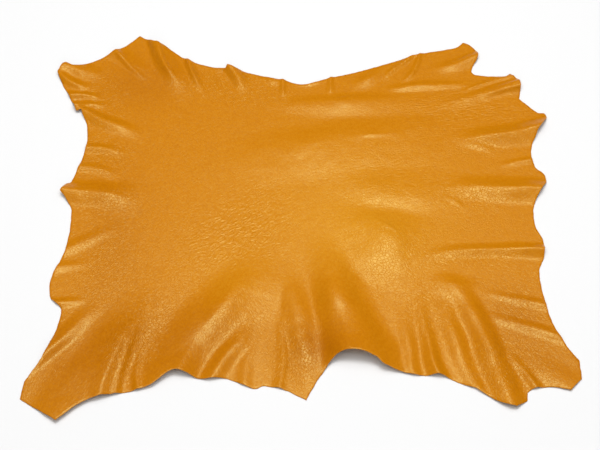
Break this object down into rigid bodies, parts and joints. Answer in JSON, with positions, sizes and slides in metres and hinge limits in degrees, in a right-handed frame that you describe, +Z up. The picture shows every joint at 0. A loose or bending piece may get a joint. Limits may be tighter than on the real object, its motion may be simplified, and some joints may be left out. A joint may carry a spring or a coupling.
{
  "type": "leather hide",
  "caption": "Whole finished goat hide laid out grain side up in its own soft folds: one thin leather sheet with four shank lobes and a wavy knife-cut edge.",
  "frame": {"origin": "middle of the hide's bounding box, on the surface that it lies on", "axes": "+X along the hide from the neck end to the tail end, +Y across it from the front belly edge to the rear belly edge, +Z up out of the grain side"},
  "size_m": [0.8861, 0.786, 0.0291],
  "materials": {
    "finished_leather": "glossy amber-tan aniline finish with fine pebbled grain"
  },
  "bodies": {
    "root": {"hide": "finished_leather"}
  },
  "joints": []
}
